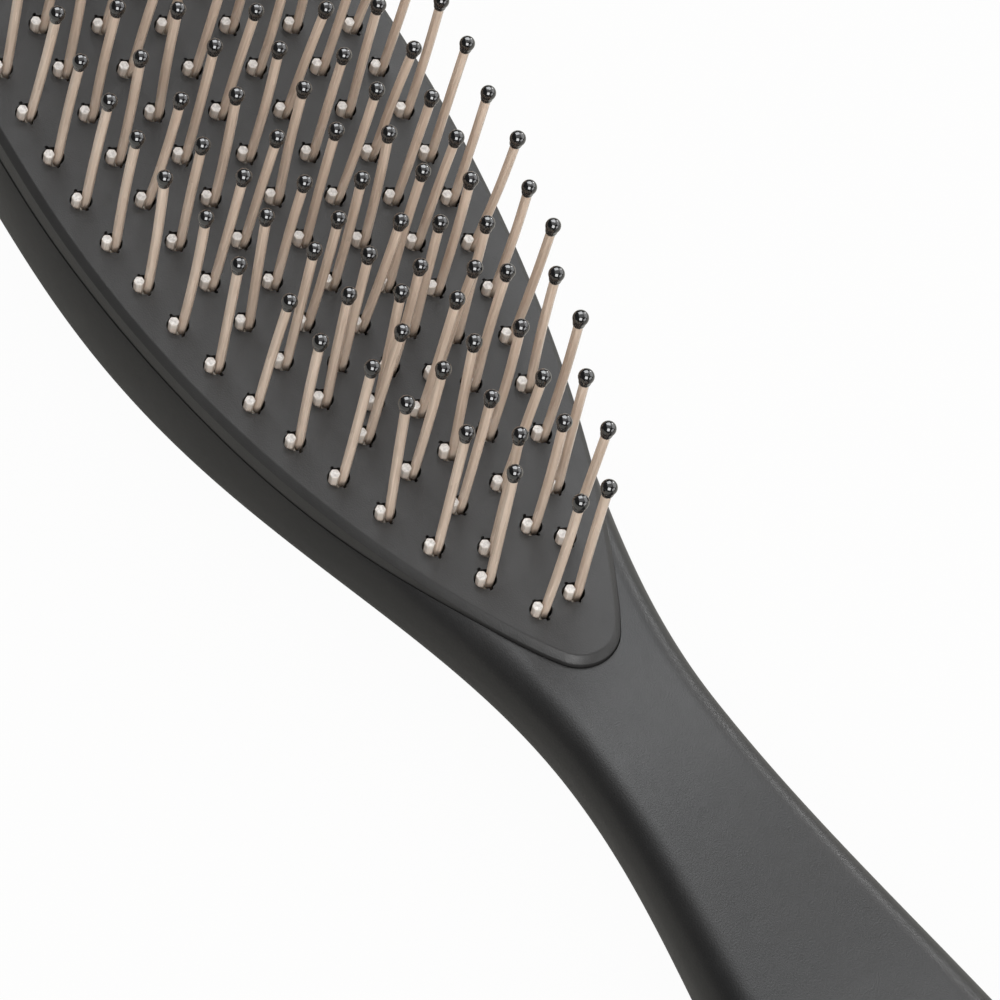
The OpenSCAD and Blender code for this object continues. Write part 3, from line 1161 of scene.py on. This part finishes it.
    def filaments(self, line: int, tufts: list[Tuft], rng: np.random.Generator) -> Piece:
        """Builds the folded filaments of one line.

        Args:
            line: Number of the line.
            tufts: The tufts of that line.
            rng: Source of the bows.

        Returns:
            The piece, with a paleness and a place in its own strand at every point.
        """
        ring, points, faces, ends, shares, strands = self.outline(), [], [], [], [], []
        count, apart = len(ring), 10.0
        for number, tuft in enumerate(tufts):
            place, base, walk = self.matrix(tuft), len(points), self.path(rng)
            for (x, y, z), heading, size, pale in walk:
                c, s = math.cos(heading) * size, math.sin(heading) * size
                shares += [pale] * count
                for a, b in ring:
                    strands += [a + apart * number, b + apart * line, z * self.draw_share]
                    points.append(placed(place, x + a * size, y + b * c, z + b * s))
            for i in range(len(walk) - 1):
                faces += band(base + i * count, count)
            ends.append(len(faces))
            faces.append(tuple(base + k for k in reversed(range(count))))
            faces.append(tuple(base + (len(walk) - 1) * count + k for k in range(count)))
        obj = piece_from(f"filaments_{line}", points, faces, self.crease)
        fix_outward(obj)
        coat(obj, self.material(self.filament), self.material(self.cut_end))
        for index in ends:
            obj.data.polygons[index].material_index = 1
        obj.data.attributes.new(PALENESS, "FLOAT", "POINT").data.foreach_set("value", shares)
        obj.data.attributes.new(STRAND, "FLOAT_VECTOR", "POINT").data.foreach_set("vector", strands)
        soften(obj, self.crease)
        return obj

    def material(self, finish: FilamentFinish | CutEndFinish | BallFinish) -> bpy.types.Material:
        """Returns a finish's material, which all lines share."""
        return bpy.data.materials.get(finish.name) or finish.make()

    def ball_profile(self) -> Ring:
        """Draws half the outline of a ball tip, from its neck to its top.

        Returns:
            Points (radius, height from the ball's middle) in millimetres.
        """
        radius = self.ball_d / 2.0
        neck = self.filament_d / 2.0 + (self.ball_d - self.filament_d) / 8.0
        foot_z, neck_z, swell, steps = -self.ball_neck_h, -self.ball_neck_h + 0.05, 0.03, 14
        start = math.radians(-35.0)
        side, level = radius * math.cos(start), radius * math.sin(start)
        profile = [(neck * 0.7, foot_z - 0.02), (neck * 0.93, foot_z), (neck, neck_z)]
        profile += [(mix(neck, side, t) + swell * math.sin(math.pi * t), mix(neck_z, level, t))
                    for t in (0.25, 0.5, 0.75)]
        turns = [start + (math.pi / 2 - start) * k / steps for k in range(steps)]
        return profile + [(radius * math.cos(a), radius * math.sin(a)) for a in turns]

    def balls(self, line: int, tufts: list[Tuft], rng: np.random.Generator) -> Piece:
        """Builds the ball tips of one line.

        Args:
            line: Number of the line.
            tufts: The tufts of that line.
            rng: Source of the balls' sizes.

        Returns:
            The piece.
        """
        profile, sides = self.ball_profile(), self.ball_sides
        smallest, last_ring = 0.95, (len(profile) - 1) * sides
        turns = [2 * math.pi * k / sides for k in range(sides)]
        points: list[Point] = []
        faces: list[Face] = []
        for tuft in tufts:
            place, base = self.matrix(tuft), len(points)
            swell = rng.uniform(smallest, 1.0)
            for r, z in profile:
                reach, level = r * swell, self.pin_h + z
                points += [placed(place, reach * math.cos(a), self.leg_y + reach * math.sin(a), level)
                           for a in turns]
            points.append(placed(place, 0.0, self.leg_y, self.pin_h + self.ball_d / 2 * swell))
            for start in range(base, base + last_ring, sides):
                faces += band(start, sides)
            rim, top = base + last_ring, len(points) - 1
            faces += [(rim + k, rim + (k + 1) % sides, top) for k in range(sides)]
            faces.append(tuple(base + k for k in reversed(range(sides))))
        obj = piece_from(f"balls_{line}", points, faces, self.ball_crease)
        fix_outward(obj)
        coat(obj, self.material(self.ball))
        soften(obj, self.ball_crease)
        return obj

    def build(self) -> list[Piece]:
        """Builds every line of filaments and ball tips.

        Returns:
            The pieces, two for each line.
        """
        made, everything = [], self.tufts()
        rng = np.random.default_rng(self.seed)
        for line in range(1, self.line_count + 1):
            tufts = [t for t in everything if t.line == line]
            for obj, node, slot in (
                (self.filaments(line, tufts, rng), f"pins_line_{line}", "filament"),
                (self.balls(line, tufts, rng), f"tips_line_{line}", "tip"),
            ):
                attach(obj, BODY)
                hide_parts(node)
                made.append(obj)
        return made


@dataclass
class AnchorWires:
    """The flat wires in the bottom of the holes, kept as their solids."""

    nodes: dict[str, Piece]
    line_count: int
    finish: WireFinish = field(default_factory=WireFinish)

    def dress(self) -> list[Piece]:
        """Gives every line of wires its finish.

        Returns:
            The lines of wires.
        """
        material = self.finish.make()
        made = [self.nodes[f"anchors_line_{line}"] for line in range(1, self.line_count + 1)]
        for obj in made:
            coat(obj, material)
        return made


# The studio

@dataclass(frozen=True)
class SoftLamp:
    """One soft box, which faces the studio's aim.

    Args:
        name: Name of the lamp.
        place: Where it stands, in metres.
        size: Width and height in metres.
        power: Watts.
        warmth: Colour of the light.
    """

    name: str
    place: Point
    size: Pair
    power: float
    warmth: Point = (1.0, 1.0, 1.0)

    def set_up(self, target: Vector) -> Piece:
        """Places the lamp and aims it.

        Args:
            target: Point that it faces.

        Returns:
            The lamp, linked to the scene.
        """
        light = bpy.data.lights.new(self.name, "AREA")
        light.shape = "RECTANGLE"
        light.size, light.size_y = self.size
        light.energy = self.power
        light.color = self.warmth
        obj = bpy.data.objects.new(self.name, light)
        obj.location = self.place
        obj.rotation_euler = (target - obj.location).to_track_quat("-Z", "Y").to_euler()
        bpy.context.scene.collection.objects.link(obj)
        return obj


@dataclass
class Studio:
    """White floor, soft lamps and the camera.

    Args:
        lens, sensor: Focal length and sensor width of the camera, in millimetres.
        place, right, up: Place of the camera and two directions of its picture, fitted to the photograph.
        aim: Point that every lamp faces.
        lamps: The lamps.
        ambient: Strength of the even light from all sides.
        floor_half, floor_drop: Half width of the floor, and its depth below the brush, in metres.
        floor_colour: Colour in which the floor is lit.
        seen_share, mirrored_share: Share of plain white in the floor for the camera and for reflections.
    """

    lens: float = 121.09
    sensor: float = 36.0
    place: Point = (0.140139, -0.153018, 0.367807)
    right: Point = (0.548522, 0.823244, 0.146263)
    up: Point = (-0.764526, 0.422982, 0.486401)
    aim: Point = (0.0, 0.0, 0.02)
    lamps: tuple[SoftLamp, ...] = (
        SoftLamp("softbox", (-0.69, 0.26, 0.825), (0.8, 0.8), 9.1, (0.96, 0.98, 1.0)),
        SoftLamp("window", (-0.312, 1.10, 0.39), (0.08, 0.26), 0.9),
        SoftLamp("bright_wall", (0.1, 1.22, 0.7), (1.8, 1.3), 12.5),
        SoftLamp("key", (0.72, -0.62, 0.8), (0.8, 0.8), 13.5),
        SoftLamp("front_card", (1.0, 0.42, 0.36), (0.8, 0.5), 3.0),
        SoftLamp("ceiling", (-0.2, 0.1, 1.4), (1.8, 1.8), 7.0),
    )
    ambient: float = 0.07
    floor_half: float = 3.0
    floor_drop: float = 0.00002
    floor_colour: Colour = Colour(0.37, 0.36, 0.33)
    seen_share: float = 0.965
    mirrored_share: float = 0.07

    def camera(self) -> Piece:
        """Sets up the camera at the photograph's place.

        Returns:
            The camera.
        """
        data = bpy.data.cameras.new("camera")
        data.sensor_width = self.sensor
        data.lens = self.lens
        data.clip_start = 0.01
        obj = bpy.data.objects.new("camera", data)
        right, up = Vector(self.right), Vector(self.up)
        back = right.cross(up)
        turn = Matrix((right, up, back)).transposed().to_4x4()
        obj.matrix_world = Matrix.Translation(self.place) @ turn
        bpy.context.scene.collection.objects.link(obj)
        bpy.context.scene.camera = obj
        return obj

    def glow_share(self, sheet: NodeSheet) -> Socket:
        """Returns how much plain white the camera, a reflection and a transmission see in the floor.

        Args:
            sheet: The floor's nodes.

        Returns:
            The share.
        """
        path = sheet.node("LightPath")
        total: Socket | None = None
        for name, share in (("Is Camera Ray", self.seen_share), ("Is Glossy Ray", self.mirrored_share),
                            ("Is Transmission Ray", self.mirrored_share)):
            part = sheet.node("Math", operation="MULTIPLY_ADD")
            part.inputs[1].default_value = share
            part.inputs[2].default_value = 0.0
            sheet.join(path.outputs[name], part.inputs[0])
            if total is not None:
                sheet.join(total, part.inputs[2])
            total = part.outputs[0]
        return total

    def floor(self) -> Piece:
        """Builds the white floor, which keeps a faint shadow.

        Returns:
            The floor.
        """
        half = self.floor_half
        corners = ((-half, -half), (half, -half), (half, half), (-half, half))
        obj = piece_from("floor", [(x, y, -self.floor_drop) for x, y in corners], [(0, 1, 2, 3)])
        sheet = NodeSheet("floor")
        sheet.set("Base Color", self.floor_colour.rgba())
        sheet.set("Roughness", 0.9)
        sheet.set("Specular IOR Level", 0.1)
        glow = sheet.node("Emission")
        glow.inputs["Strength"].default_value = 1.0
        blend = sheet.node("MixShader")
        sheet.join(self.glow_share(sheet), blend.inputs[0])
        sheet.join(sheet.shader.outputs[0], blend.inputs[1])
        sheet.join(glow.outputs[0], blend.inputs[2])
        sheet.join(blend.outputs[0], sheet.tree.nodes["Material Output"].inputs["Surface"])
        coat(obj, sheet.material)
        return obj

    def world(self) -> None:
        """Lights the scene evenly and faintly from all sides."""
        world = bpy.data.worlds.new("studio")
        world.use_nodes = True
        room = world.node_tree.nodes["Background"]
        room.inputs["Color"].default_value = (1.0, 1.0, 1.0, 1.0)
        room.inputs["Strength"].default_value = self.ambient
        bpy.context.scene.world = world

    def build(self) -> None:
        """Sets up the camera, floor, lamps and world."""
        self.camera()
        self.floor()
        for lamp in self.lamps:
            lamp.set_up(Vector(self.aim))
        self.world()
        bpy.context.scene.view_settings.view_transform = "Standard"


def report(what: str, pieces: list[Piece]) -> None:
    """Logs what was built and how many faces each piece has."""
    LOG.info("%s: %s", what, ", ".join(f"{p.name} {len(p.data.polygons)}" for p in pieces))


SHELL = MouldedPlastic("shell_plastic", Colour(0.0085, 0.0085, 0.0087), Colour(0.0125, 0.012, 0.0118),
                       rough=0.38, grain=0.00005)
PLATE = MouldedPlastic("plate_plastic", Colour(0.0165, 0.016, 0.0158), Colour(0.0225, 0.022, 0.0215),
                       rough=0.43, grain=0.00006)


def main() -> None:
    """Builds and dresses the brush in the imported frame."""
    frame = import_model()
    form = BrushForm()
    pins = PinField(form)
    report("body", BrushBody(form, SHELL).build())
    report("plate", [PinPlate(form, pins, PLATE).build()])
    report("pins", pins.build())
    report("anchors", AnchorWires(frame["nodes"], pins.line_count).dress())
    Studio().build()


if __name__ == "__main__":
    main()
